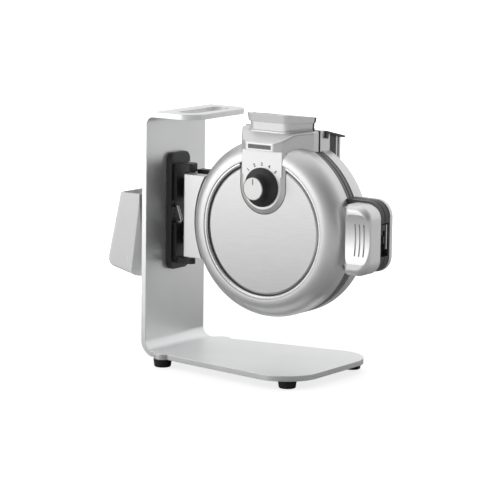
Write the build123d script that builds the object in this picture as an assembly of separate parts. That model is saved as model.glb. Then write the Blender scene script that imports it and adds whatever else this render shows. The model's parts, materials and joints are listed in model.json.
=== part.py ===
from build123d import *
import os

# An upright waffle maker: a round iron, poured from the top, hangs beside a bent plate stand.
# Frame in this script: X runs from the column to the handles, Y away from the dial, Z up.
# X = 0 is the column's inner face, Y = 0 the plane where the two halves meet, Z = 0 the table.

# ---- driving dimensions, millimetres ----
SHEET = 7.0              # plate of the stand
COLUMN_W = 131.0
STAND_H = 335.5
BASE_L = 261.0           # column's inner face to the free end
BASE_END_W = 210.0
BASE_CORNER = 48.0
FLANGE_L = 76.0
FLANGE_CORNER = 26.0
BEND_TOP = 10.0          # inner bend radii
BEND_FOOT = 14.0
FOOT_H = 10.5
FOOT_TOP_R = 12.3
FOOT_LOW_R = 10.8
REAR_FOOT = (30.0, 67.0)
FRONT_FOOT = (235.0, 76.0)

IRON_X = 170.0           # the iron's axis is parallel to Y
IRON_Z = 193.5
PARTING = 0.6            # half of the gap between the two halves
SEAL_V = 1.8             # black seal between the two silver mouths ends here
RIM_V = 8.2              # each half's black rim ends here, measured from the parting plane
SHELL_R = 116.5
SHELL_V = 45.0
CREST_R = 93.0
CREST_V = 20.0           # the shell is straight to here, then turns in a quarter ellipse
WALL = 3.0
DISC_R = 84.6
DISC_V = 42.0
PLATE_R = 100.0
GRID_R = 85.0            # the ribs stop short of the lip and leave a smooth margin
DISH_V = 8.0             # floor of the waffle cavity; the ribs stand up to RIB_V
RIB_V = 2.2
PANEL_V = 45.5
PANEL_R = 34.7
KNOB_W = 55.2            # height of the dial above the iron's axis
NECK_V = 51.5
NECK_STEP_W = 103.0      # the upper neck stands forward of the dial panel from here up
NECK_HALF = 58.0
NECK_TOP_W = 128.2
NECK_BROW = (31.0, 125.8)  # v and w where the neck's roof turns down to the front
NECK_FRONT_W = 113.5
REAR_NECK_V = 24.0
REAR_PANEL_V = 51.0
ROOF_W = 128.0
ROOF_SLOPE = 13.0
CAP_T = 2.6
CORE_HALF = 52.0
CORD_W = 100.0
CHUTE_HALF = 22.0
CHUTE_V = 9.0
HOPPER_FOOT_W = 112.0
HOPPER_BAND_W = 138.0
HOPPER_TOP_W = 150.0
HANDLE_END = 160.0
HANDLE_HALF = 47.0
HANDLE_V = 40.0
REAR_HANDLE_V = 20.5
GRIP_U = 121.5           # the front handle is thick from here outwards
GRIP_TOP = 44.0
SCOOP_R = 102.0
SCOOP_DEPTH = 5.0
LINER_V = 11.0
HINGE_X = 31.0           # vertical hinge pin
HINGE_Y = -8.0
PIN_R = 3.0
RUNNING = 0.05           # radial play of a turning shaft
COVER_V = 31.0
COVER_LEFT = -135.0      # left edge of the hinge cover, from the iron's axis
COVER_LOW = -50.5
COVER_TOP = 59.0
BRACKET_T = 8.0
BRACKET_HALF = 22.0
BRACKET_LOW = 120.5
BRACKET_TOP = 277.0
RECESS_X = 4.5
POST_X = 13.0            # posts of the bracket stay clear of the opened hinge cover
POST_Y = -16.0
CUP_HALF = 58.0
CUP_WALL = 2.5

nodes = {}


def front(shape):
    """From a half's own frame (u right, w up, v out of the parting plane) to the front half."""
    return Pos(IRON_X, 0, IRON_Z) * Rot(90, 0, 0) * shape


def rear(shape):
    return mirror(front(shape), about=Plane.XZ)


def block(x0, x1, y0, y1, z0, z1):
    return Pos((x0 + x1) / 2, (y0 + y1) / 2, (z0 + z1) / 2) * Box(x1 - x0, y1 - y0, z1 - z0)


def rod(radius, z0, z1, x=0.0, y=0.0):
    return Pos(x, y, (z0 + z1) / 2) * Cylinder(radius, z1 - z0)


def turned(*points):
    """A solid of revolution about the half's v axis from (radius, v) corners."""
    return revolve(Plane.XZ * make_face(Polyline(*points, close=True)), Axis.Z)


def upright(plan, z0, z1):
    return extrude(Pos(0, 0, z0) * plan, z1 - z0)


def along_w(plan, w0, w1):
    """Extrude a (u, v) outline along the half's w axis."""
    return extrude(Plane((0, w0, 0), x_dir=(1, 0, 0), z_dir=(0, -1, 0)) * plan, w0 - w1)


# ---- stand ----
def stand_frame():
    mid = SHEET / 2
    path = FilletPolyline(
        (FLANGE_L, STAND_H - mid), (-mid, STAND_H - mid), (-mid, FOOT_H + mid), (BASE_L, FOOT_H + mid),
        radius=[BEND_TOP + mid, BEND_FOOT + mid])
    band = extrude(Plane.XZ * trace(path, line_width=SHEET), BASE_END_W, both=True)
    half_end = BASE_END_W / 2
    sides = Polyline((-SHEET - 1, -COLUMN_W / 2), (0, -COLUMN_W / 2), (BASE_L, -half_end),
                     (BASE_L, half_end), (0, COLUMN_W / 2), (-SHEET - 1, COLUMN_W / 2), close=True)
    base = make_face(sides)
    base = fillet(base.vertices().sort_by(Axis.X)[-2:], BASE_CORNER)
    for side in (-1, 1):
        base += Pos(REAR_FOOT[0], side * (REAR_FOOT[1] - 1)) * Circle(FOOT_TOP_R)
    top = Pos(FLANGE_L / 2 - 4, 0) * Rectangle(FLANGE_L + 8, COLUMN_W)
    top = fillet(top.vertices().sort_by(Axis.X)[-2:], FLANGE_CORNER)
    top -= Pos(45, 0) * Rot(0, 0, 90) * SlotOverall(92, 30)
    split = FOOT_H + SHEET + BEND_FOOT + 10
    return band & (upright(base, 0, split) + upright(top, split, STAND_H + 1))


def foot(x, y):
    pad = Pos(x, y, FOOT_H / 2) * Cone(FOOT_LOW_R, FOOT_TOP_R, FOOT_H)
    pad = fillet(pad.edges().sort_by(Axis.Z)[0], 1.8)
    return pad - rod(5.0, -1, 4.5, x, y)


def foot_screw(x, y):
    return rod(4.2, 1.5, 4.5, x, y) + rod(2.0, 4.5, FOOT_H + SHEET - 1.5, x, y)


def bracket():
    plate = Pos(BRACKET_T / 2, 0, (BRACKET_LOW + BRACKET_TOP) / 2) * Box(
        BRACKET_T, 2 * BRACKET_HALF, BRACKET_TOP - BRACKET_LOW)
    plate = fillet(plate.edges().filter_by(Axis.X), 10)
    plate = chamfer(plate.faces().sort_by(Axis.X)[-1].edges(), 1.5)
    recess = block(RECESS_X, BRACKET_T + 1, -BRACKET_HALF + 4, BRACKET_HALF + 1, 133, 262)
    plate -= recess
    for low, high in ((133, 182), (213, 262)):
        plate += block(RECESS_X - 1, POST_X, POST_Y, -1, low, high)
        plate += block(RECESS_X - 1, POST_X - 3, POST_Y + 4, 2, low, high)
    for z in (188, 193, 198, 203, 208):
        plate += block(RECESS_X - 1, RECESS_X + 1.2, -9, 14, z, z + 2)
    knuckle = block(HINGE_X - 10, HINGE_X + 5.5, HINGE_Y - 9.5, HINGE_Y + 9.5, 253, 264.5)
    knuckle = fillet(knuckle.edges().filter_by(Axis.Z).sort_by(Axis.X)[-2:], 5)
    knuckle = chamfer(knuckle.faces().sort_by(Axis.Z)[-1].edges(), 0.8)
    arm = block(RECESS_X, HINGE_X - 9, POST_Y, HINGE_Y + 8, 253, 263)
    tongue = block(RECESS_X, HINGE_X, HINGE_Y - 6.5, HINGE_Y + 6.5, 130, 137.5) + rod(
        6.5, 130, 137.5, HINGE_X, HINGE_Y)
    return plate + knuckle + arm + tongue - rod(PIN_R, 100, 262, HINGE_X, HINGE_Y)


def hinge_wire():
    """Bent spring wire in the gap between the bracket's posts."""
    y = POST_Y + 4.5
    path = FilletPolyline((RECESS_X, y, 205.8), (11.5, y, 205.8), (19, y, 185.2), (RECESS_X, y, 185.2),
                          radius=2.5)
    return sweep(Plane((RECESS_X, y, 205.8), z_dir=(1, 0, 0)) * Circle(1.9), path=path)


def back_plate():
    plate = Pos(-SHEET - 1.5, 0, 203) * Box(3, 120, 162)
    plate = fillet(plate.edges().filter_by(Axis.X), 12)
    shelf = block(-16.4, -9, -40, 40, 192, 195)
    lip = block(-16.4, -14.4, -40, 40, 194, 218)
    return plate + shelf + lip


def bracket_screw(y, z):
    head = Pos(-SHEET - 2, y, z) * Rot(0, 90, 0) * Cylinder(4, 2)
    shank = Pos(-SHEET / 2 + 1, y, z) * Rot(0, 90, 0) * Cylinder(2.2, SHEET + 4)
    return head + shank


def cup_solid(inset, rise):
    """Outer body for inset 0, or the hollow for the wall's thickness: rear wall upright, front
    wall leaning out, floor square to the front wall, rear corners cut back towards the floor."""
    back = -17 - inset
    lean = (73 - 50.5) / (224 - 125)
    profile = make_face(Polyline((-50.5 + inset + lean * rise, 224 + rise), (-73 + inset, 125 + inset),
                                 (-22 - inset * 0.4, 113 + inset), (back, 118 + inset), (back, 224 + rise),
                                 close=True))
    profile = fillet(profile.vertices().sort_by(Axis.X)[0], 12 - inset)
    half = CUP_HALF - inset
    body = extrude(Plane.XZ * profile, half, both=True)
    for side in (-1, 1):
        fold_top = Vector(-17, side * half, 216)
        fold_low = Vector(-31, side * half, 111)
        turned_in = Vector(-17, side * (half - 13), 111)
        outward = (fold_low - fold_top).cross(turned_in - fold_top) * side
        body -= Plane(origin=fold_top, z_dir=-outward) * Pos(0, 0, 100) * Box(600, 600, 200)
    leaning = [edge for edge in body.edges() if edge.center().X < -52 and abs(edge.center().Y) > half - 1]
    return fillet(leaning, 5 - inset)


def measuring_cup():
    cup = cup_solid(0, 0) - cup_solid(CUP_WALL, 16)
    hook = block(-17.0, -10.6, -38, 38, 218, 221) + block(-13.4, -10.6, -38, 38, 202, 221)
    return cup + hook


# ---- the iron's halves, drawn once in their own frame ----
def shell_envelope(grow=0.0):
    rim = EllipticalCenterArc((CREST_R, CREST_V), SHELL_R - CREST_R + grow, SHELL_V - CREST_V + grow,
                              start_angle=0, arc_size=90)
    rest = Polyline((CREST_R, SHELL_V + grow), (0, SHELL_V + grow), (0, 0), (SHELL_R + grow, 0),
                    (SHELL_R + grow, CREST_V))
    return revolve(Plane.XZ * make_face(rim + rest), Axis.Z)


def panel_outline(grow=0.0):
    top = NECK_STEP_W
    stem = Pos(0, (KNOB_W + top) / 2) * Rectangle(2 * (PANEL_R + grow), top - KNOB_W)
    return stem + Pos(0, KNOB_W) * Circle(PANEL_R + grow)


def shell():
    lip_r = CREST_R - 1.8
    inner = shell_envelope(-WALL)
    body = shell_envelope() - inner - rod(lip_r, -1, SHELL_V + 1) - rod(SHELL_R + 1, -1, RIM_V)
    return body


def trim_ring():
    ring = turned((80, 37.6), (CREST_R - 1.8, 37.6), (CREST_R - 1.8, 43.6), (90.4, 44.4), (88.4, 44.4),
                  (86.9, 43.0), (86.9, 40.2), (80, 40.2))
    return ring


def steel_disc():
    return turned((0, 40.4), (84.2, 40.4), (DISC_R, 40.9), (82.6, DISC_V), (0, DISC_V))


def rim():
    face_v = RIM_V - 1.3
    band = turned((101.5, PARTING), (SHELL_R - 1.1, PARTING), (SHELL_R - 0.5, PARTING + 0.6),
                  (SHELL_R - 0.5, face_v - 0.5), (SHELL_R - 1.1, face_v), (SHELL_R - 3, face_v),
                  (SHELL_R - 3, RIM_V), (101.5, RIM_V))
    return band - block(-CHUTE_HALF, CHUTE_HALF, 90, 130, -1, CHUTE_V)


def waffle_plate():
    """Cast plate: a flat dish with a raised lip, open where the batter comes in."""
    dish = turned((0, DISH_V), (PLATE_R, DISH_V), (PLATE_R, DISH_V + 4), (0, DISH_V + 4))
    lip = turned((95, PARTING), (PLATE_R, PARTING), (PLATE_R, DISH_V + 1), (95, DISH_V + 1))
    lip -= block(-CHUTE_HALF, CHUTE_HALF, 80, 110, -1, DISH_V)
    return dish + lip


def waffle_grid():
    """The plate's ribs, which print the waffle's pockets."""
    ribs = None
    pitch = 21.0
    for k in range(-4, 5):
        upright_rib = block(k * pitch - 2.5, k * pitch + 2.5, -94, 94, RIB_V, DISH_V)
        level_rib = block(-94, 94, k * pitch - 2.5, k * pitch + 2.5, RIB_V, DISH_V)
        ribs = upright_rib + level_rib if ribs is None else ribs + upright_rib + level_rib
    return ribs & rod(GRID_R, 0, DISH_V + 1)


def heater():
    ring = Pos(0, 0, DISH_V + 8) * Torus(66, 3.5)
    gap = block(-14, 14, -80, -50, 10, 22)
    pins = rod(2.2, 13, 26, -16, -64.2) + rod(2.2, 13, 26, 16, -64.2)
    return ring - gap + pins


def heat_shield():
    """Thin pan between the heater and the outer shell."""
    return turned((0, 27), (86, 27), (86, 16), (87, 16), (87, 28), (0, 28))


def neck_outline(inset=0.0):
    right = [(NECK_HALF, PARTING), (NECK_HALF - 2, 10), (38.5, 36), (31, 45.5), (21, NECK_V)]
    left = [(-u, v) for u, v in reversed(right)]
    outline = make_face(Polyline(*right, *left, close=True))
    outline = fillet(outline.vertices().sort_by(Axis.Y)[4:], 9)
    if inset:
        outline = offset(outline, -inset)
    return outline


def front_sky(rise=0.0):
    """Everything above the front neck's roof, which turns down towards the front."""
    v, w = NECK_BROW
    fall = (NECK_FRONT_W - w) / (NECK_V - v)
    line = FilletPolyline((NECK_TOP_W + 0.4, -5), (w, v), (w + fall * (80 - v), 80), radius=14)
    rest = Polyline(line @ 1, (200, 80), (200, -5), line @ 0)
    return Pos(0, rise, 0) * extrude(Plane.YZ * make_face(line + rest), 90, both=True)


def neck_block(inset=0.0):
    tall = along_w(neck_outline(inset), NECK_STEP_W + inset, NECK_TOP_W + 12)
    low = along_w(neck_outline(inset), 70, NECK_STEP_W + inset)
    low -= block(-90, 90, 60, NECK_STEP_W + inset, PANEL_V - inset, 80)
    return tall + low - front_sky(-inset)


def front_neck():
    body = neck_block()
    roof = [face for face in body.faces() if face.normal_at().Y > 0.3 and face.center().Y > 105]
    brink = [edge for face in roof for edge in face.edges() if abs(edge.center().X) > 1 and edge.center().Z > 2]
    body = fillet(brink, 3)
    body -= neck_block(WALL)
    body -= chute_block(0.0)
    body -= shell_envelope(0.05)
    pad = extrude(Pos(0, 0, DISC_V - 1.5) * panel_outline(), 1.5)
    pad += extrude(Pos(0, 0, DISC_V) * panel_outline(), PANEL_V - DISC_V, taper=60)
    body += pad - (shell_envelope(0.05) - rod(CREST_R - 1.9, -1, 60))
    body -= rod(4.0, 30, 60, 0, KNOB_W)
    return body - block(-17.6, 17.6, 105.4, 110.6, NECK_V - 2.5, NECK_V + 1)


def chute_block(play):
    return block(-CHUTE_HALF - WALL - play, CHUTE_HALF + WALL + play, 96, NECK_TOP_W + 2,
                 PARTING, CHUTE_V + WALL + play)


def mouth_outline(half_seam, half_front, v_front, inset=0.0):
    """Half of the pouring mouth, seen from above, with round corners."""
    line = Polyline((-half_seam + inset, PARTING - (5 if inset else 0)),
                    (half_seam - inset, PARTING - (5 if inset else 0)),
                    (half_seam - inset, PARTING + 2),
                    (half_front - inset * 0.4, v_front - inset), (-half_front + inset * 0.4, v_front - inset),
                    (-half_seam + inset, PARTING + 2), close=True)
    outline = make_face(line)
    return fillet(outline.vertices().sort_by(Axis.Y)[-2:], 13 - inset)


def mouth_section(w, *shape):
    return Plane((0, w, 0), x_dir=(1, 0, 0), z_dir=(0, -1, 0)) * mouth_outline(*shape)


def hopper_outside():
    lower = loft([mouth_section(HOPPER_FOOT_W, 46, 27, 29.6), mouth_section(HOPPER_BAND_W, 48.5, 28, 31.5)])
    band = loft([mouth_section(HOPPER_BAND_W, 50, 30, 33.5), mouth_section(HOPPER_TOP_W, 52.5, 31, 36)])
    return lower + band


def hopper_foot(sky):
    """Low flange that spreads the mouth's wall onto the neck's roof."""
    return along_w(mouth_outline(48.5, 29.5, 33), HOPPER_FOOT_W, 140) - sky


def hopper(neck_solid, raised_sky):
    body = hopper_outside() + hopper_foot(raised_sky) - neck_solid + chute_block(0.0) - shell_envelope(0.05)
    funnel = loft([mouth_section(HOPPER_TOP_W + 1, 52.5, 31, 36, WALL),
                   mouth_section(120, CHUTE_HALF + WALL, CHUTE_HALF - 2, CHUTE_V + WALL, WALL)])
    return body - funnel - block(-CHUTE_HALF, CHUTE_HALF, 90, 122, -5, CHUTE_V)


def cut_rim(shape):
    """The mouth's rim slopes down from the front to the rear of the iron."""
    lid = Pos(IRON_X, 0, 338.5) * Rot(-6.5, 0, 0) * Pos(0, 0, 30) * Box(140, 160, 60)
    return shape - lid


def indicator_lens():
    return block(-17.5, 17.5, 105.5, 110.5, NECK_V - 2.4, NECK_V - 0.4)


def hinge_cover():
    v_low = PARTING + 12
    body = block(COVER_LEFT, -60, COVER_LOW, COVER_TOP, v_low, COVER_V)
    body = fillet(body.edges().filter_by(Axis.Y).sort_by(Axis.X)[:2].sort_by(Axis.Z)[-1], 2.5)
    hollow = block(COVER_LEFT + WALL, -60, COVER_LOW + WALL, COVER_TOP - WALL, v_low - 1, COVER_V - WALL)
    barrel_room = Pos(HINGE_X - IRON_X, 0, -HINGE_Y) * Rot(90, 0, 0) * Cylinder(9, 200)
    return body - hollow - barrel_room - shell_envelope(0.05) - rod(SHELL_R, -1, 60)


def hinge_arm():
    """Barrel on the pin and two straps into the shell, under the cover."""
    u = HINGE_X - IRON_X
    v = -HINGE_Y
    barrel = Pos(u, 4, v) * Rot(90, 0, 0) * Cylinder(8.5, 108)
    arm = None
    for low, high in ((-45, -18), (20, 54)):
        strap = block(u, -98, low, high, v - 3.5, v + 4.3) + block(
            u + 16, -98, low, high, v + 4, COVER_V - WALL - 1.5)
        arm = strap if arm is None else arm + strap
    arm -= rod(SHELL_R, -1, 80)
    bore = Pos(u, 0, v) * Rot(90, 0, 0) * Cylinder(PIN_R + RUNNING, 200)
    return barrel + arm - bore


def handle_outline(inset=0.0):
    mid = HANDLE_END - 40
    outline = Pos(mid, 0) * Rectangle(80 - 2 * inset, 2 * (HANDLE_HALF - inset))
    return fillet(outline.vertices().sort_by(Axis.X)[-2:], 22 - inset)


def grip_outline(inset=0.0):
    """The front handle's thick part, a little lower than the liner behind it."""
    middle = ((GRIP_U + HANDLE_END) / 2, (GRIP_TOP - HANDLE_HALF) / 2)
    outline = Pos(*middle) * Rectangle(HANDLE_END - GRIP_U - 2 * inset, GRIP_TOP + HANDLE_HALF - 2 * inset)
    ends = outline.vertices().sort_by(Axis.X)
    outline = fillet(ends[-2:], 20 - inset)
    return fillet(outline.vertices().sort_by(Axis.X)[:2], 5 - inset)


def front_handle():
    """A narrow stem at the shell, then a thick grip with a thumb scoop and three grooves."""
    body = extrude(Pos(0, 0, LINER_V) * grip_outline(), HANDLE_V - LINER_V)
    body = fillet(body.faces().sort_by(Axis.Z)[-1].edges(), 9)
    body += block(100, GRIP_U + 6, -38, 38, LINER_V, 20)
    floor = HANDLE_V - SCOOP_DEPTH
    body -= Pos(150, 0.5, floor + SCOOP_R) * Rot(0, 90, 0) * Cylinder(SCOOP_R, 90)
    body -= extrude(Pos(0, 0, LINER_V - 1) * grip_outline(WALL), 10)
    body -= block(100, GRIP_U + 8, -35, 35, LINER_V - 1, 17)
    for u in (137, 143.5, 150):
        body -= block(u, u + 1.6, -21, 20, floor - 1.2, HANDLE_V)
    return body - shell_envelope(0.05)


def rear_handle():
    body = extrude(Pos(0, 0, LINER_V) * handle_outline(), REAR_HANDLE_V - LINER_V)
    body = fillet(body.faces().sort_by(Axis.Z)[-1].edges().sort_by(Axis.X)[-5:], 5)
    body -= extrude(Pos(0, 0, LINER_V - 1) * handle_outline(WALL), REAR_HANDLE_V - LINER_V - WALL + 1)
    return body - shell_envelope(0.05)


def handle_liner():
    body = extrude(Pos(0, 0, PARTING) * handle_outline(0.8), LINER_V - PARTING)
    body -= rod(SHELL_R, -1, 60)
    return body - block(151.5, 170, -24, 18.5, -1, 8.4)


def handle_screw(w):
    return rod(3.4, 1.2, 3.4, 131, w) + rod(1.8, 3.4, 13, 131, w)


def catch():
    """Tooth that the latch drops in front of, on the front half."""
    return block(151.5, 159, -7, 2, 1.2, 3.6)


# ---- dial ----
def knob():
    body = turned((0, 46.1), (25.4, 46.1), (25.4, 47.2), (17.6, 51.5), (16.2, 55), (15.6, 64.2),
                  (14.6, 64.2), (14.6, 63.6), (0, 63.6))
    return Pos(0, KNOB_W) * body - rod(PIN_R, 40, 60, 0, KNOB_W)


def knob_cap():
    cap = Pos(0, KNOB_W) * turned((0, 63.6), (14.6, 63.6), (14.6, 64.6), (14.0, 65.4), (0, 65.4))
    return cap - block(-0.7, 0.7, KNOB_W + 5, KNOB_W + 13, 65.0, 66)


def knob_shaft():
    return rod(PIN_R, 30, 60, 0, KNOB_W)


def thermostat():
    body = block(-15, 15, KNOB_W - 13, KNOB_W + 13, 28.4, 36.0)
    return body + rod(6, 36, 38.5, 0, KNOB_W) - rod(PIN_R + RUNNING, 20, 60, 0, KNOB_W)


# ---- latch, drawn in the front half's frame: v is negative on the rear half ----
def latch_slider():
    body = block(152.5, 158.6, -15, 17, -6.9, -1.0)
    body += block(152.5, 158.6, 9.5, 17, -2, 7.0)
    return body + block(152.5, 158.6, 3, 10, 4.4, 7.0)


def latch_bar():
    return block(158.6, 159.4, -14.5, 16.5, -4.6, -3.0)


# ---- rear of the iron ----
def rear_arm():
    """Fixed arm from the bracket into the rear shell."""
    block_v0 = 3.0
    body = block(33 - IRON_X, -70, COVER_LOW + 2, 62, block_v0, 16)
    bridge = block(RECESS_X - IRON_X, 34 - IRON_X, -40, -10, block_v0, 16)
    bridge += block(RECESS_X - IRON_X, 34 - IRON_X, 22, 50, block_v0, 16)
    return body + bridge - rod(SHELL_R, -1, 60) - shell_envelope(0.05)


def over_roof(shape):
    """Place a shape on the rear neck's top, which falls away from the parting plane."""
    return Pos(0, ROOF_W, 0) * Rot(ROOF_SLOPE, 0, 0) * shape


def under_roof(half, v0, v1, low, drop=0.0):
    sky = over_roof(block(-90, 90, -drop, 60, -60, 90))
    return block(-half, half, low, 140, v0, v1) - sky


def crown(half, v0, v1, low, inset=0.0):
    """The rear neck's outside: level at the parting plane, then flush with the black cap."""
    return under_roof(half, v0, v1, low, inset - CAP_T) & block(-90, 90, 0, NECK_TOP_W - inset, -1, 90)


def rear_neck():
    """Straight housing behind the parting plane; a flanged core carries the cord outlet."""
    outside = crown(NECK_HALF, PARTING, REAR_NECK_V, 70)
    inside = crown(NECK_HALF - WALL, PARTING + WALL, REAR_NECK_V - WALL, 60, WALL)
    core = under_roof(CORE_HALF, REAR_NECK_V - 1, 48, 84.5)
    core += under_roof(CORE_HALF + 5, 40.4, 43.6, 84.5)
    core += under_roof(CORE_HALF + 5, 47, REAR_PANEL_V, 84.5)
    body = outside - inside + core
    return body - chute_block(0.0) - shell_envelope(0.05) - rod(6.5, 43, 60, 0, CORD_W)


def cord_block():
    """Black cheeks on both sides of the rear neck's core, under a sloping cap with two side arms."""
    body = under_roof(CORE_HALF + 5, REAR_NECK_V, 40.2, 70) + under_roof(CORE_HALF + 5, 43.8, 46.8, 92)
    body -= block(-CORE_HALF, CORE_HALF, 60, 150, 0, 60)
    cap = over_roof(block(-NECK_HALF - 3, NECK_HALF + 3, 0, CAP_T, REAR_NECK_V + 5.4, 56.5))
    cap += over_roof(block(-NECK_HALF - 3, NECK_HALF + 3, 0, CAP_T, REAR_NECK_V - 5, 40))
    cap -= block(-90, 90, 0, 150, 0, REAR_NECK_V)
    for side in (-1, 1):
        middle = side * (NECK_HALF + 1.6)
        cap += over_roof(block(middle - 1.4, middle + 1.4, 0, CAP_T, 12.5, 40))
        cap += over_roof(block(middle - 1.4, middle + 1.4, -7, 0.5, 12.5, 18))
    return body + cap - shell_envelope(0.05)


def cord_bushing():
    sleeve = rod(6.5, SHELL_V + 0.2, 58, 0, CORD_W) + rod(9, REAR_PANEL_V, 53, 0, CORD_W)
    return fillet(sleeve.faces().sort_by(Axis.Z)[-1].edges(), 1.5) - rod(3.4, 40, 70, 0, CORD_W)


# ---- assembly ----
def build_stand():
    frame = stand_frame()
    places = {}
    for end, (x, y) in (("rear", REAR_FOOT), ("front", FRONT_FOOT)):
        for side, sign in (("near", -1), ("far", 1)):
            places[f"{end}_{side}"] = (x, sign * y)
    for name, (x, y) in places.items():
        screw = foot_screw(x, y)
        frame -= screw
        nodes[f"foot_{name}"] = foot(x, y) - screw
        nodes[f"foot_screw_{name}"] = screw
    holder, plate = bracket(), back_plate()
    number = 0
    for z in (147, 255):
        for y in (-13, 13):
            number += 1
            screw = bracket_screw(y, z)
            frame -= screw
            holder -= screw
            plate -= screw
            nodes[f"bracket_screw_{number}"] = screw
    nodes["stand_frame"] = frame
    nodes["hinge_bracket"] = holder
    nodes["back_plate"] = plate
    nodes["hinge_wire"] = hinge_wire()
    nodes["hinge_pin"] = rod(PIN_R, 131, 262, HINGE_X, HINGE_Y)
    nodes["measuring_cup"] = measuring_cup()


def build_half(side, place, under_mouth, raised_sky, neck):
    """The pieces that both halves have."""
    steel = steel_disc()
    ring = trim_ring()
    if side == "front":
        cut = extrude(Pos(0, 0, 30) * panel_outline(0.9), 20)
        steel -= cut
        ring -= cut
    nodes[f"{side}_shell"] = place(shell())
    nodes[f"{side}_trim_ring"] = place(ring)
    nodes[f"{side}_steel_disc"] = place(steel)
    nodes[f"{side}_rim"] = place(rim())
    nodes[f"{side}_waffle_plate"] = place(waffle_plate())
    nodes[f"{side}_waffle_grid"] = place(waffle_grid())
    nodes[f"{side}_heater"] = place(heater())
    nodes[f"{side}_heat_shield"] = place(heat_shield())
    mouth = hopper(under_mouth, raised_sky)
    slab = block(-90, 90, 90, 200, -1, SEAL_V)
    nodes[f"{side}_hopper"] = cut_rim(place(mouth - slab))
    nodes[f"{side}_neck"] = place(neck - slab)
    nodes[f"{side}_neck_seal"] = cut_rim(place((mouth & slab) + (neck & slab)))
    nodes[f"{side}_handle"] = place(front_handle() if side == "front" else rear_handle())
    liner = handle_liner()
    for number, w in ((1, -34), (2, 34)):
        screw = handle_screw(w)
        liner -= screw
        nodes[f"{side}_handle_screw_{number}"] = place(screw)
    nodes[f"{side}_handle_liner"] = place(liner + catch() if side == "front" else liner)


def build_iron():
    build_half("front", front, neck_block(), front_sky(2.0), front_neck())
    rear_sky = over_roof(block(-90, 90, CAP_T + 2.0, 60, -60, 90)) + block(-90, 90, NECK_TOP_W + 2, 200, -9, 90)
    build_half("rear", rear, crown(NECK_HALF + 3, PARTING, 60, 70), rear_sky, rear_neck())
    nodes["front_hinge_cover"] = front(hinge_cover())
    nodes["front_hinge_arm"] = front(hinge_arm())
    nodes["indicator_lens"] = front(indicator_lens())
    nodes["thermostat"] = front(thermostat())
    nodes["knob"] = front(knob())
    nodes["knob_cap"] = front(knob_cap())
    nodes["knob_shaft"] = front(knob_shaft())
    nodes["latch_slider"] = front(latch_slider())
    nodes["latch_bar"] = front(latch_bar())
    nodes["rear_hinge_arm"] = rear(rear_arm())
    nodes["cord_block"] = rear(cord_block())
    nodes["cord_bushing"] = rear(cord_bushing())


build_stand()
build_iron()

everything = Compound(children=[Part() + shape for shape in nodes.values()])
bounds = everything.bounding_box()
to_origin = Location((-(bounds.min.X + bounds.max.X) / 2, -(bounds.min.Y + bounds.max.Y) / 2, -bounds.min.Z))
os.makedirs("parts", exist_ok=True)
for name, shape in nodes.items():
    export_step(to_origin * shape, f"parts/{name}.step")
print("shift to the base's middle", to_origin.position)
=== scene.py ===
# %% [markdown]
# # An upright waffle maker on its stand
# This lesson dresses a finished CAD model of a waffle maker. The model comes in as a fixed frame:
# every solid is already in its place, in metres, and knows which moving body it rides on. What is
# left for Blender is everything the eye reads: finishes, printed numbers, small worn or moulded
# details, light and a camera. Each step below says what the real thing is made of before it is made.

# %% Load the frame
import json
import math

import bmesh
import bpy
from mathutils import Matrix, Quaternion, Vector


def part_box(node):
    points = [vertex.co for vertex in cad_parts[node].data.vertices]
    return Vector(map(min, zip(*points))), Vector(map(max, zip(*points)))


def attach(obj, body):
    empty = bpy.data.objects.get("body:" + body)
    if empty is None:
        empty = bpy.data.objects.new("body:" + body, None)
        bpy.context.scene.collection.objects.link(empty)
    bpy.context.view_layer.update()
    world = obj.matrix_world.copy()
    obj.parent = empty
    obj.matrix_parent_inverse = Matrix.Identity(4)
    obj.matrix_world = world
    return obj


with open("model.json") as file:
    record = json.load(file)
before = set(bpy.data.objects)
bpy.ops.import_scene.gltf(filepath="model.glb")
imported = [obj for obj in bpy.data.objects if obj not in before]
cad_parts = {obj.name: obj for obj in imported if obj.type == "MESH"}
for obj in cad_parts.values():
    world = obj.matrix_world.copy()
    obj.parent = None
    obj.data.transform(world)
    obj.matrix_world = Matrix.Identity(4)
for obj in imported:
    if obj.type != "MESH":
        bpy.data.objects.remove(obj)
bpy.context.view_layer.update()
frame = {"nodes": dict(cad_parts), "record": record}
nodes_of = frame["nodes"]

# %% [markdown]
# ## Camera
# The product is seen from the right of its dial and a little above, with a long lens that keeps the
# stand's edges nearly parallel. A camera can be aimed with a constraint, but a direction vector turned
# into a rotation is shorter, and the small roll of a hand-held shot is one more turn about the lens.

# %% Camera
SENSOR, LENS = 36.0, 194.38                    # millimetres
AZIMUTH_DEG, ELEVATION_DEG, ROLL_DEG = 34.856, 9.267, 0.724
CAMERA_PLACE = (1.98993, -2.8688, 0.7269)
camera_data = bpy.data.cameras.new("studio_camera")
camera = bpy.data.objects.new("studio_camera", camera_data)
bpy.context.scene.collection.objects.link(camera)
bpy.context.scene.camera = camera
azimuth, elevation = math.radians(AZIMUTH_DEG), math.radians(ELEVATION_DEG)
towards_camera = Vector((math.sin(azimuth) * math.cos(elevation),
                         -math.cos(azimuth) * math.cos(elevation), math.sin(elevation)))
camera.location = CAMERA_PLACE
camera.rotation_mode = "QUATERNION"
level_aim = (-towards_camera).to_track_quat("-Z", "Y")
camera.rotation_quaternion = level_aim @ Quaternion((0, 0, 1), math.radians(ROLL_DEG))
camera_data.sensor_width = SENSOR
camera_data.lens = LENS
camera_data.clip_start, camera_data.clip_end = 0.1, 30
bpy.context.scene.view_settings.view_transform = "Standard"
print("camera at", tuple(round(v, 3) for v in camera.location), "lens", camera_data.lens)

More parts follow.
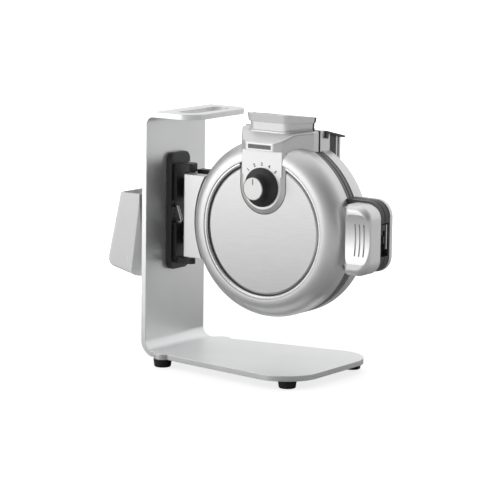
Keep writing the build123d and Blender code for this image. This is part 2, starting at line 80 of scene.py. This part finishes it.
# %% [markdown]
# ## Floor and light
# Catalogue pictures are shot on a white sweep that is lit until it burns out, with a large soft light on
# the dial's side. The floor's colour is darker close to the product than further off, a painted shadow
# so that little light is thrown up under it, and it glows for the lens only, which burns it out all the
# same. Metal shows whatever stands round it, so the room matters more than the lamps. The room is bright
# all round but for one dark wall beside the camera: its reflection draws the grey bands on every rounded
# silver edge between the dial's side and the handles.

# %% Floor
FLOOR_HALF = 40.0
FLOOR_DROP = 0.0002                            # below the feet, so that the two faces never fight
# The floor's colour is a painted shadow: darker near the product, paler further out.
FLOOR_SHADE = {"From Min": 0.2, "From Max": 0.8, "To Min": 0.32, "To Max": 0.85}   # metres out, grey
FLOOR_GLOW = 0.8
floor_mesh = bpy.data.meshes.new("studio_floor")
floor_bm = bmesh.new()
bmesh.ops.create_grid(floor_bm, x_segments=1, y_segments=1, size=FLOOR_HALF)
floor_bm.to_mesh(floor_mesh)
floor_bm.free()
floor = bpy.data.objects.new("studio_floor", floor_mesh)
bpy.context.scene.collection.objects.link(floor)
floor.location.z = -FLOOR_DROP
floor_finish = bpy.data.materials.new("white_sweep")
floor_finish.use_nodes = True
floor_tree = floor_finish.node_tree
floor_shader = floor_tree.nodes["Principled BSDF"]
floor_place = floor_tree.nodes.new("ShaderNodeTexCoord")
floor_away = floor_tree.nodes.new("ShaderNodeVectorMath")
floor_away.operation = "LENGTH"
floor_shade = floor_tree.nodes.new("ShaderNodeMapRange")
for socket, value in FLOOR_SHADE.items():
    floor_shade.inputs[socket].default_value = value
floor_tree.links.new(floor_place.outputs["Object"], floor_away.inputs[0])
floor_tree.links.new(floor_away.outputs["Value"], floor_shade.inputs["Value"])
floor_tree.links.new(floor_shade.outputs["Result"], floor_shader.inputs["Base Color"])
floor_shader.inputs["Roughness"].default_value = 0.7
floor_shader.inputs["Specular IOR Level"].default_value = 0.1
floor_path = floor_tree.nodes.new("ShaderNodeLightPath")
floor_glow = floor_tree.nodes.new("ShaderNodeMath")
floor_glow.operation = "MULTIPLY"
floor_glow.inputs[1].default_value = FLOOR_GLOW
floor_shader.inputs["Emission Color"].default_value = (1, 1, 1, 1)
floor_tree.links.new(floor_path.outputs["Is Camera Ray"], floor_glow.inputs[0])
floor_tree.links.new(floor_glow.outputs["Value"], floor_shader.inputs["Emission Strength"])
floor_mesh.materials.append(floor_finish)

# %% Room light
DARK_WALL = Vector((0.8, -0.5, 0.33))          # the way to it from the product
ROOM_LEVELS = (0.82, 1.18, 0.42, 0.14)         # brightness at each of the places below
ROOM_PLACES = (0.05, 0.52, 0.84, 1.0)          # 0 is opposite the dark wall and 1 is the wall itself
world = bpy.data.worlds.new("studio_room")
bpy.context.scene.world = world
world.use_nodes = True
room, room_links = world.node_tree.nodes, world.node_tree.links
room.clear()
room_output = room.new("ShaderNodeOutputWorld")
room_mix = room.new("ShaderNodeMixShader")
seen_room = room.new("ShaderNodeBackground")
seen_room.inputs["Color"].default_value = (1, 1, 1, 1)
lit_room = room.new("ShaderNodeBackground")
room_path = room.new("ShaderNodeLightPath")
room_place = room.new("ShaderNodeTexCoord")
room_side = room.new("ShaderNodeVectorMath")
room_side.operation = "DOT_PRODUCT"
room_side.inputs[1].default_value = DARK_WALL
room_spread = room.new("ShaderNodeMapRange")
room_spread.inputs["From Min"].default_value = -1.0
room_ramp = room.new("ShaderNodeValToRGB")
room_stops = room_ramp.color_ramp.elements
for rough_place in (0.3, 0.62):
    room_stops.new(rough_place)                # two more between the first and last; all are placed below
for stop, position, level in zip(room_stops, ROOM_PLACES, ROOM_LEVELS):
    stop.position = position
    stop.color = (level, level, level, 1)
room_links.new(room_place.outputs["Generated"], room_side.inputs[0])
room_links.new(room_side.outputs["Value"], room_spread.inputs["Value"])
room_links.new(room_spread.outputs["Result"], room_ramp.inputs["Fac"])
room_links.new(room_ramp.outputs["Color"], lit_room.inputs["Color"])
room_links.new(room_path.outputs["Is Camera Ray"], room_mix.inputs["Fac"])
room_links.new(lit_room.outputs["Background"], room_mix.inputs[1])
room_links.new(seen_room.outputs["Background"], room_mix.inputs[2])
room_links.new(room_mix.outputs["Shader"], room_output.inputs["Surface"])


def softbox(name, place, target, width, height, watts):
    """A rectangular lamp at place, facing target."""
    lamp_data = bpy.data.lights.new(name, "AREA")
    lamp_data.shape = "RECTANGLE"
    lamp_data.size, lamp_data.size_y = width, height
    lamp_data.energy = watts
    lamp = bpy.data.objects.new(name, lamp_data)
    bpy.context.scene.collection.objects.link(lamp)
    lamp.location = place
    lamp.rotation_mode = "QUATERNION"
    lamp.rotation_quaternion = (Vector(target) - Vector(place)).to_track_quat("-Z", "Y")


middle = (0, 0, 0.17)
softbox("top_softbox", (-0.2, -0.3, 1.9), middle, width=1.6, height=1.6, watts=2)
softbox("dial_softbox", (-1.2, -1.6, 0.35), middle, width=1.8, height=1.2, watts=10)
print("room and lamps ready")

# %% [markdown]
# ## Helpers for finishes
# Every finish starts from the Principled shader. Five small helpers do what nearly all of them need: one
# starts the material with its plain values on the shader itself, one makes a fine noise tied to the
# object, and the others feed that noise into the roughness, the colour and the surface's relief. Edges of
# moulded and cut parts are never razor sharp, so the relief starts from a Bevel node, which rounds the
# shading along each edge by a fraction of a millimetre.

# %% Finish helpers
NOISE_LOW, NOISE_HIGH = 0.3, 0.7               # nearly all values of a noise texture lie between these
TINT_LOW, TINT_HIGH = 0.35, 0.65               # beyond these the colour is all one shade or the other
BEVEL_SAMPLES = 6


def start_finish(name, colour, metallic=0.0, roughness=0.5):
    """A new material with plain values on its shader; returns both."""
    finish = bpy.data.materials.new(name)
    finish.use_nodes = True
    shader = finish.node_tree.nodes["Principled BSDF"]
    shader.inputs["Base Color"].default_value = (*colour, 1)
    shader.inputs["Metallic"].default_value = metallic
    shader.inputs["Roughness"].default_value = roughness
    return finish, shader


def place_noise(finish, per_metre, stretch=(1, 1, 1), detail=3.0):
    """A noise texture tied to the object, per_metre features to the metre along each stretched axis."""
    tree = finish.node_tree
    place = tree.nodes.new("ShaderNodeTexCoord")
    scale = tree.nodes.new("ShaderNodeMapping")
    scale.inputs["Scale"].default_value = stretch
    noise = tree.nodes.new("ShaderNodeTexNoise")
    noise.inputs["Scale"].default_value = per_metre
    noise.inputs["Detail"].default_value = detail
    tree.links.new(place.outputs["Object"], scale.inputs["Vector"])
    tree.links.new(scale.outputs["Vector"], noise.inputs["Vector"])
    return noise.outputs["Fac"]


def vary(finish, source, socket, low, high):
    """Spread a 0 to 1 texture over low..high and feed it to one of the shader's inputs."""
    tree = finish.node_tree
    spread = tree.nodes.new("ShaderNodeMapRange")
    span = {"From Min": NOISE_LOW, "From Max": NOISE_HIGH, "To Min": low, "To Max": high}
    for end, value in span.items():
        spread.inputs[end].default_value = value
    tree.links.new(source, spread.inputs["Value"])
    tree.links.new(spread.outputs["Result"], tree.nodes["Principled BSDF"].inputs[socket])


def tint(finish, source, low_shade, high_shade):
    """Colour that wanders between two close shades."""
    tree = finish.node_tree
    ramp = tree.nodes.new("ShaderNodeValToRGB")
    first, last = ramp.color_ramp.elements
    first.position, last.position = TINT_LOW, TINT_HIGH
    first.color, last.color = (*low_shade, 1), (*high_shade, 1)
    tree.links.new(source, ramp.inputs["Fac"])
    tree.links.new(ramp.outputs["Color"], tree.nodes["Principled BSDF"].inputs["Base Color"])


def relief(finish, source, depth, edge=0.0006):
    """Surface relief depth metres high, on edges rounded by edge metres."""
    tree = finish.node_tree
    rounded = tree.nodes.new("ShaderNodeBevel")
    rounded.samples = BEVEL_SAMPLES
    rounded.inputs["Radius"].default_value = edge
    bump = tree.nodes.new("ShaderNodeBump")
    bump.inputs["Distance"].default_value = depth
    tree.links.new(rounded.outputs["Normal"], bump.inputs["Normal"])
    tree.links.new(source, bump.inputs["Height"])
    tree.links.new(bump.outputs["Normal"], tree.nodes["Principled BSDF"].inputs["Normal"])


# %% [markdown]
# ## Satin stand
# The stand is one strip of aluminium plate, bent and blasted with fine beads, then clear-coated. It reads
# as an even grey that darkens where it mirrors the black bracket. A metal with a middling roughness does
# that; very fine noise in the roughness and relief keeps it from looking like plain paint.

# %% Satin stand
def satin_plate():
    finish, _ = start_finish("satin_plate", (0.83, 0.835, 0.84), metallic=0.75, roughness=0.34)
    beads = place_noise(finish, 900, detail=2)
    clouds = place_noise(finish, 9, detail=4)
    tint(finish, clouds, (0.81, 0.815, 0.82), (0.85, 0.855, 0.858))
    vary(finish, beads, "Roughness", 0.3, 0.4)
    relief(finish, beads, 0.00004, edge=0.0008)
    return finish


# %% [markdown]
# ## Silver lacquer
# The round body, the neck, the mouth and the handles are moulded and sprayed silver: metal flakes in a
# binder under a thin clear coat. A shader that is three quarters metallic under a soft coat gives the slow
# bright-to-grey turn of the body's edge, and noise at flake size breaks the highlight up a little.

# %% Silver lacquer
def silver_lacquer(name="silver_lacquer", shade=0.7, roughness=0.4):
    finish, shader = start_finish(name, (shade, shade, shade), metallic=0.75, roughness=roughness)
    shader.inputs["Coat Weight"].default_value = 0.25
    shader.inputs["Coat Roughness"].default_value = 0.2
    flakes = place_noise(finish, 1600, detail=1)
    tint(finish, flakes, (shade - 0.02,) * 3, (shade + 0.02, shade + 0.021, shade + 0.02))
    vary(finish, flakes, "Roughness", roughness - 0.04, roughness + 0.04)
    relief(finish, place_noise(finish, 350, detail=2), 0.00002, edge=0.0009)
    return finish


# %% [markdown]
# ## Brushed steel disc
# The middle of each half is a thin stainless disc, brushed level. Brushing leaves thousands of scratches
# in one direction, so light spreads across them: that is anisotropy. The direction is the disc's own
# level axis, turned with the part when the iron opens. Long thin noise adds the visible strokes.

# %% Brushed steel disc
def brushed_disc():
    finish, shader = start_finish("brushed_disc", (0.6, 0.6, 0.6), metallic=1.0, roughness=0.34)
    shader.inputs["Anisotropic"].default_value = 0.55
    tree = finish.node_tree
    level = tree.nodes.new("ShaderNodeVectorTransform")
    level.vector_type = "VECTOR"
    level.convert_from, level.convert_to = "OBJECT", "WORLD"
    level.inputs["Vector"].default_value = (1, 0, 0)
    tree.links.new(level.outputs["Vector"], shader.inputs["Tangent"])
    strokes = place_noise(finish, 40, stretch=(1, 1, 90), detail=6)
    tint(finish, strokes, (0.57, 0.57, 0.57), (0.64, 0.64, 0.64))
    vary(finish, strokes, "Roughness", 0.28, 0.42)
    relief(finish, strokes, 0.00001, edge=0.0003)
    return finish


# %% [markdown]
# ## Black plastics and rubber
# The bracket, the neck's seals and the handles' linings are black moulded plastic with a fine
# spark-eroded grain; the rims are a smoother dark grey and the dial is smoother too; the feet and the
# cord's bushing are rubber, which hardly shines. The same recipe serves all of them with a different
# grain, colour and roughness.

# %% Black plastics and rubber
def dark_moulding(name, shade, roughness, grain_per_metre, grain_depth, edge=0.0005):
    """A dark plastic or rubber, a touch bluer than grey, with a grain grain_depth metres high."""
    finish, _ = start_finish(name, (shade, shade, shade * 1.06), roughness=roughness)
    grain = place_noise(finish, grain_per_metre, detail=3)
    tint(finish, grain, (shade * 0.8,) * 3, (shade * 1.25, shade * 1.25, shade * 1.32))
    vary(finish, grain, "Roughness", roughness - 0.06, roughness + 0.08)
    relief(finish, grain, grain_depth, edge=edge)
    return finish


# %% [markdown]
# ## Inner metals, coating and lens
# Inside are the cast plates with a black non-stick coating, tube heaters that heat has browned, plain
# aluminium pans behind them and a pale thermostat. Screws and the hinge pin are bright steel. The small
# window over the dial is smoked plastic: nearly black, very smooth.

# %% Inner metals, coating and lens
def bright_steel():
    finish, _ = start_finish("bright_steel", (0.62, 0.62, 0.62), metallic=1.0, roughness=0.25)
    turning = place_noise(finish, 700, stretch=(1, 1, 4), detail=3)
    vary(finish, turning, "Roughness", 0.18, 0.34)
    relief(finish, turning, 0.00001, edge=0.0003)
    return finish


def browned_heater():
    finish, _ = start_finish("browned_heater", (0.3, 0.26, 0.22), metallic=0.9, roughness=0.5)
    bands = place_noise(finish, 60, detail=5)
    tint(finish, bands, (0.22, 0.17, 0.13), (0.42, 0.39, 0.36))
    relief(finish, bands, 0.00002, edge=0.0003)
    return finish


def plain_pan():
    finish, _ = start_finish("plain_pan", (0.7, 0.7, 0.7), metallic=1.0, roughness=0.4)
    rolling = place_noise(finish, 200, stretch=(1, 1, 12), detail=4)
    vary(finish, rolling, "Roughness", 0.3, 0.5)
    relief(finish, rolling, 0.00001, edge=0.0003)
    return finish


def nonstick_coating():
    finish, shader = start_finish("nonstick_coating", (0.035, 0.035, 0.037), roughness=0.42)
    shader.inputs["Coat Weight"].default_value = 0.3
    shader.inputs["Coat Roughness"].default_value = 0.25
    speckle = place_noise(finish, 1200, detail=2)
    tint(finish, speckle, (0.028, 0.028, 0.03), (0.055, 0.055, 0.058))
    relief(finish, place_noise(finish, 300, detail=4), 0.00005, edge=0.0012)
    return finish


def pale_phenolic():
    finish, _ = start_finish("pale_phenolic", (0.72, 0.69, 0.62), roughness=0.55)
    mottle = place_noise(finish, 120, detail=4)
    tint(finish, mottle, (0.68, 0.65, 0.58), (0.76, 0.73, 0.66))
    relief(finish, mottle, 0.00002)
    return finish


def smoked_window():
    finish, shader = start_finish("smoked_window", (0.05, 0.05, 0.052), roughness=0.12)
    shader.inputs["Coat Weight"].default_value = 0.6
    haze = place_noise(finish, 500, detail=2)
    tint(finish, haze, (0.035, 0.035, 0.037), (0.075, 0.075, 0.078))
    relief(finish, haze, 0.00001, edge=0.0004)
    return finish


# %% [markdown]
# ## Spun dial cap
# The dial's face is a thin aluminium cap turned on a lathe. Its fine rings run round the centre, so the
# noise is stretched round the dial's axis: the distance from the axis drives it, not the place itself.

# %% Spun dial cap
knob_low, knob_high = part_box("knob")
dial_axis = Vector(((knob_low.x + knob_high.x) / 2, 0, (knob_low.z + knob_high.z) / 2))


def spun_cap():
    finish, shader = start_finish("spun_cap", (0.66, 0.66, 0.645), metallic=0.7, roughness=0.4)
    tree = finish.node_tree
    place = tree.nodes.new("ShaderNodeTexCoord")
    flat = tree.nodes.new("ShaderNodeVectorMath")
    flat.operation = "MULTIPLY"
    flat.inputs[1].default_value = (1, 0, 1)
    away = tree.nodes.new("ShaderNodeVectorMath")
    away.operation = "DISTANCE"
    away.inputs[1].default_value = dial_axis
    rings = tree.nodes.new("ShaderNodeTexNoise")
    rings.noise_dimensions = "1D"
    rings.inputs["Scale"].default_value = 2600
    tree.links.new(place.outputs["Object"], flat.inputs[0])
    tree.links.new(flat.outputs["Vector"], away.inputs[0])
    tree.links.new(away.outputs["Value"], rings.inputs["W"])
    tint(finish, rings.outputs["Fac"], (0.63, 0.63, 0.615), (0.69, 0.69, 0.675))
    vary(finish, rings.outputs["Fac"], "Roughness", 0.32, 0.48)
    relief(finish, rings.outputs["Fac"], 0.00001, edge=0.0003)
    return finish


# %% [markdown]
# ## Clear cup
# The measuring cup that hangs on the back plate is clear plastic gone milky from many washes. A quarter
# of the light passes through its walls and the rest scatters in them, so the cup reads as a pale, faintly
# blue grey. Low roughness with slow clouds in it is the bloom that washing leaves on the surface.

# %% Clear cup
def clear_plastic():
    finish, shader = start_finish("clear_plastic", (0.995, 0.997, 1.0), roughness=0.3)
    shader.inputs["Transmission Weight"].default_value = 0.25
    shader.inputs["IOR"].default_value = 1.45
    bloom = place_noise(finish, 45, detail=5)
    vary(finish, bloom, "Roughness", 0.16, 0.28)
    relief(finish, bloom, 0.000004, edge=0.0005)
    return finish


# %% [markdown]
# ## Hand the finishes to the solids
# The record already says which slot each solid belongs to. One dictionary from slot to finish dresses the
# whole object in a loop, so a solid can't be forgotten and two solids of one stuff can't drift apart.

# %% Hand the finishes to the solids
finish_for = {
    "stand_metal": satin_plate(),
    "silver_body": silver_lacquer(),
    "silver_trim": silver_lacquer("silver_trim", shade=0.78, roughness=0.26),
    "brushed_disc": brushed_disc(),
    "black_plastic": dark_moulding("black_moulding", 0.034, 0.42, 700, 0.00006),
    "rim_grey": dark_moulding("rim_grey", 0.15, 0.34, 900, 0.00002, edge=0.0004),
    "knob_black": dark_moulding("dial_black", 0.02, 0.38, 1400, 0.00002, edge=0.0008),
    "knob_cap": spun_cap(),
    "smoked_lens": smoked_window(),
    "clear_plastic": clear_plastic(),
    "rubber": dark_moulding("foot_rubber", 0.012, 0.62, 500, 0.00008, edge=0.0008),
    "cord_rubber": dark_moulding("bushing_rubber", 0.025, 0.6, 500, 0.00008),
    "screw_steel": bright_steel(),
    "heater_steel": browned_heater(),
    "shield_aluminium": plain_pan(),
    "nonstick_plate": nonstick_coating(),
    "inner_plastic": pale_phenolic(),
}
for entry in frame["record"]["subparts"]:
    solid = nodes_of[entry["node"]]
    solid.data.materials.clear()
    solid.data.materials.append(finish_for[entry["material_slot"]])
print(len(finish_for), "finishes on", len(nodes_of), "solids")

# %% [markdown]
# ## Numbers round the dial
# The settings are printed on the neck's face in an arc over the dial. A print has no thickness to speak
# of, so each figure is a text object laid a tenth of a millimetre proud of the face and turned with the
# arc. Turning text into a mesh keeps it the same wherever the file is opened.

# %% Numbers round the dial
DIGITS = "12345"
DIGIT_RADIUS, DIGIT_HEIGHT, DIGIT_THICK = 0.0298, 0.0062, 0.0002
DIGIT_STEP_DEG = 22.5
DIGIT_BOLDNESS = 0.035                         # each outline grows by this share of the figure's height
DIAL_GAP = 0.0006                              # from the dial's back to the neck's face
face_y = knob_high.y + DIAL_GAP


def printed_ink():
    finish, _ = start_finish("printed_ink", (0.09, 0.09, 0.095), roughness=0.55)
    edge_wear = place_noise(finish, 2500, detail=2)
    tint(finish, edge_wear, (0.06, 0.06, 0.065), (0.16, 0.16, 0.165))
    relief(finish, edge_wear, 0.00001, edge=0.0001)
    return finish


def text_mesh(name, words, size, thickness):
    """A flat text in the XY plane, centred on the origin, as a mesh."""
    curve = bpy.data.curves.new(name, "FONT")
    curve.body = words
    curve.size = size
    curve.extrude = thickness / 2
    curve.offset = size * DIGIT_BOLDNESS
    curve.align_x, curve.align_y = "CENTER", "CENTER"
    holder = bpy.data.objects.new(name + "_outline", curve)
    bpy.context.scene.collection.objects.link(holder)
    bpy.context.view_layer.update()
    evaluated = holder.evaluated_get(bpy.context.evaluated_depsgraph_get())
    mesh = bpy.data.meshes.new_from_object(evaluated)
    bpy.data.objects.remove(holder)
    mesh.name = name
    return mesh


ink = printed_ink()
middle_figure = len(DIGITS) // 2
for count, figure in enumerate(DIGITS):
    turn = math.radians((count - middle_figure) * DIGIT_STEP_DEG)
    figure_mesh = text_mesh("dial_number_" + figure, figure, DIGIT_HEIGHT, DIGIT_THICK)
    figure_mesh.materials.clear()
    figure_mesh.materials.append(ink)
    figure_place = Vector((dial_axis.x + DIGIT_RADIUS * math.sin(turn), face_y,
                           dial_axis.z + DIGIT_RADIUS * math.cos(turn)))
    upright = Matrix.Rotation(turn, 4, "Y") @ Matrix.Rotation(math.radians(90), 4, "X")
    figure_mesh.transform(Matrix.Translation(figure_place) @ upright)
    number = bpy.data.objects.new("dial_number_" + figure, figure_mesh)
    bpy.context.scene.collection.objects.link(number)
    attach(number, "front_half")
print(len(DIGITS), "numbers at radius", DIGIT_RADIUS)

# %% [markdown]
# ## Dark rings in the disc grooves
# A thin black ring fills the groove between each steel disc and its trim ring: painted shade that
# darkens the groove. It is a flat ring with blunt upper corners, so it is turned: one short outline is
# swept round the disc's axis. On the dial's side the neck's face stands in the ring's way, so that ring
# is open at the top and stops where the face starts.

# %% Dark rings in the disc grooves
FULL_TURN = 2 * math.pi


def turned_ring(name, centre, outline, start, end, steps, toward):
    """Sweep (radius, height) points round the Y axis through centre; toward is -1 for the dial's side."""
    ring_bm = bmesh.new()
    closed = math.isclose(end - start, FULL_TURN)
    loops = []
    for step in range(steps if closed else steps + 1):
        angle = start + (end - start) * step / steps
        across, up = math.sin(angle), math.cos(angle)
        points = [(centre.x + radius * across, centre.y + toward * height, centre.z + radius * up)
                  for radius, height in outline]
        loops.append([ring_bm.verts.new(point) for point in points])
    pairs = list(zip(loops, loops[1:]))
    if closed:
        pairs.append((loops[-1], loops[0]))
    for here, there in pairs:
        for k in range(len(outline)):
            after = (k + 1) % len(outline)
            ring_bm.faces.new((here[k], here[after], there[after], there[k]))
    if not closed:
        ring_bm.faces.new(loops[0])
        ring_bm.faces.new(list(reversed(loops[-1])))
    bmesh.ops.recalc_face_normals(ring_bm, faces=ring_bm.faces)
    mesh = bpy.data.meshes.new(name)
    ring_bm.to_mesh(mesh)
    ring_bm.free()
    piece = bpy.data.objects.new(name, mesh)
    bpy.context.scene.collection.objects.link(piece)
    return piece


SHADE_RING_IN, SHADE_RING_OUT = 0.0847, 0.0868
SHADE_RING_LOW, SHADE_RING_TOP = 0.0403, 0.0413        # from the plane where the two halves meet
SHADE_RING_BLUNT_DOWN, SHADE_RING_BLUNT_IN = 0.0003, 0.0004   # how much of each upper corner is cut off
SHADE_RING_STEPS = 144
FACE_HALF_WIDTH = 0.0358                       # of the neck's face, where it meets the ring
disc_low, disc_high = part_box("rear_steel_disc")
iron_axis = Vector(((disc_low.x + disc_high.x) / 2, 0, (disc_low.z + disc_high.z) / 2))
shade_ring_outline = [
    (SHADE_RING_IN, SHADE_RING_LOW), (SHADE_RING_OUT, SHADE_RING_LOW), (SHADE_RING_OUT, SHADE_RING_TOP - SHADE_RING_BLUNT_DOWN),
    (SHADE_RING_OUT - SHADE_RING_BLUNT_IN, SHADE_RING_TOP), (SHADE_RING_IN + SHADE_RING_BLUNT_IN, SHADE_RING_TOP),
    (SHADE_RING_IN, SHADE_RING_TOP - SHADE_RING_BLUNT_DOWN),
]
face_half_angle = math.asin(FACE_HALF_WIDTH / SHADE_RING_IN)
# Each ring is black as painted shade for the groove round its disc.
for side, body, opened, toward in (("front", "front_half", face_half_angle, -1), ("rear", "stand", 0.0, 1)):
    shade_ring = turned_ring(side + "_disc_shade_ring", iron_axis, shade_ring_outline, opened,
                         FULL_TURN - opened, SHADE_RING_STEPS, toward)
    shade_ring.data.materials.append(finish_for["black_plastic"])
    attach(shade_ring, body)
print("two shade rings, radius", SHADE_RING_IN, "to", SHADE_RING_OUT)

# %% [markdown]
# ## Pointer on the dial
# A slot is pressed into the dial's cap and filled with dark paint, so that the setting can be read. The
# paint is a small bar with rounded ends that sits in the slot, a little below the cap's face.

# %% Pointer
POINTER_HALF, POINTER_IN, POINTER_OUT = 0.00062, 0.0052, 0.0128
POINTER_FACE, POINTER_BACK = 0.00012, 0.00038  # how far behind the cap's face the paint starts and ends
END_STEPS = 8                                  # round each end
cap_face_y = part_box("knob_cap")[0].y
pointer_bm = bmesh.new()
pointer_outline = []
for end, centre_radius in ((0, POINTER_OUT - POINTER_HALF), (1, POINTER_IN + POINTER_HALF)):
    for step in range(END_STEPS + 1):
        angle = math.pi * (step / END_STEPS + end)
        pointer_outline.append((POINTER_HALF * math.cos(angle),
                                centre_radius + POINTER_HALF * math.sin(angle)))


def pointer_loop(depth):
    """The pointer's outline, depth metres behind the cap's face."""
    return [pointer_bm.verts.new((dial_axis.x + x, cap_face_y + depth, dial_axis.z + z))
            for x, z in pointer_outline]


for_face, for_back = pointer_loop(POINTER_FACE), pointer_loop(POINTER_BACK)
pointer_bm.faces.new(for_face)
pointer_bm.faces.new(list(reversed(for_back)))
for k in range(len(pointer_outline)):
    after = (k + 1) % len(pointer_outline)
    pointer_bm.faces.new((for_face[k], for_back[k], for_back[after], for_face[after]))
bmesh.ops.recalc_face_normals(pointer_bm, faces=pointer_bm.faces)
pointer_mesh = bpy.data.meshes.new("dial_pointer")
pointer_bm.to_mesh(pointer_mesh)
pointer_bm.free()
pointer_mesh.materials.append(ink)
pointer = bpy.data.objects.new("dial_pointer", pointer_mesh)
bpy.context.scene.collection.objects.link(pointer)
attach(pointer, "knob")
print("pointer from", POINTER_IN, "to", POINTER_OUT, "m from the dial's axis")
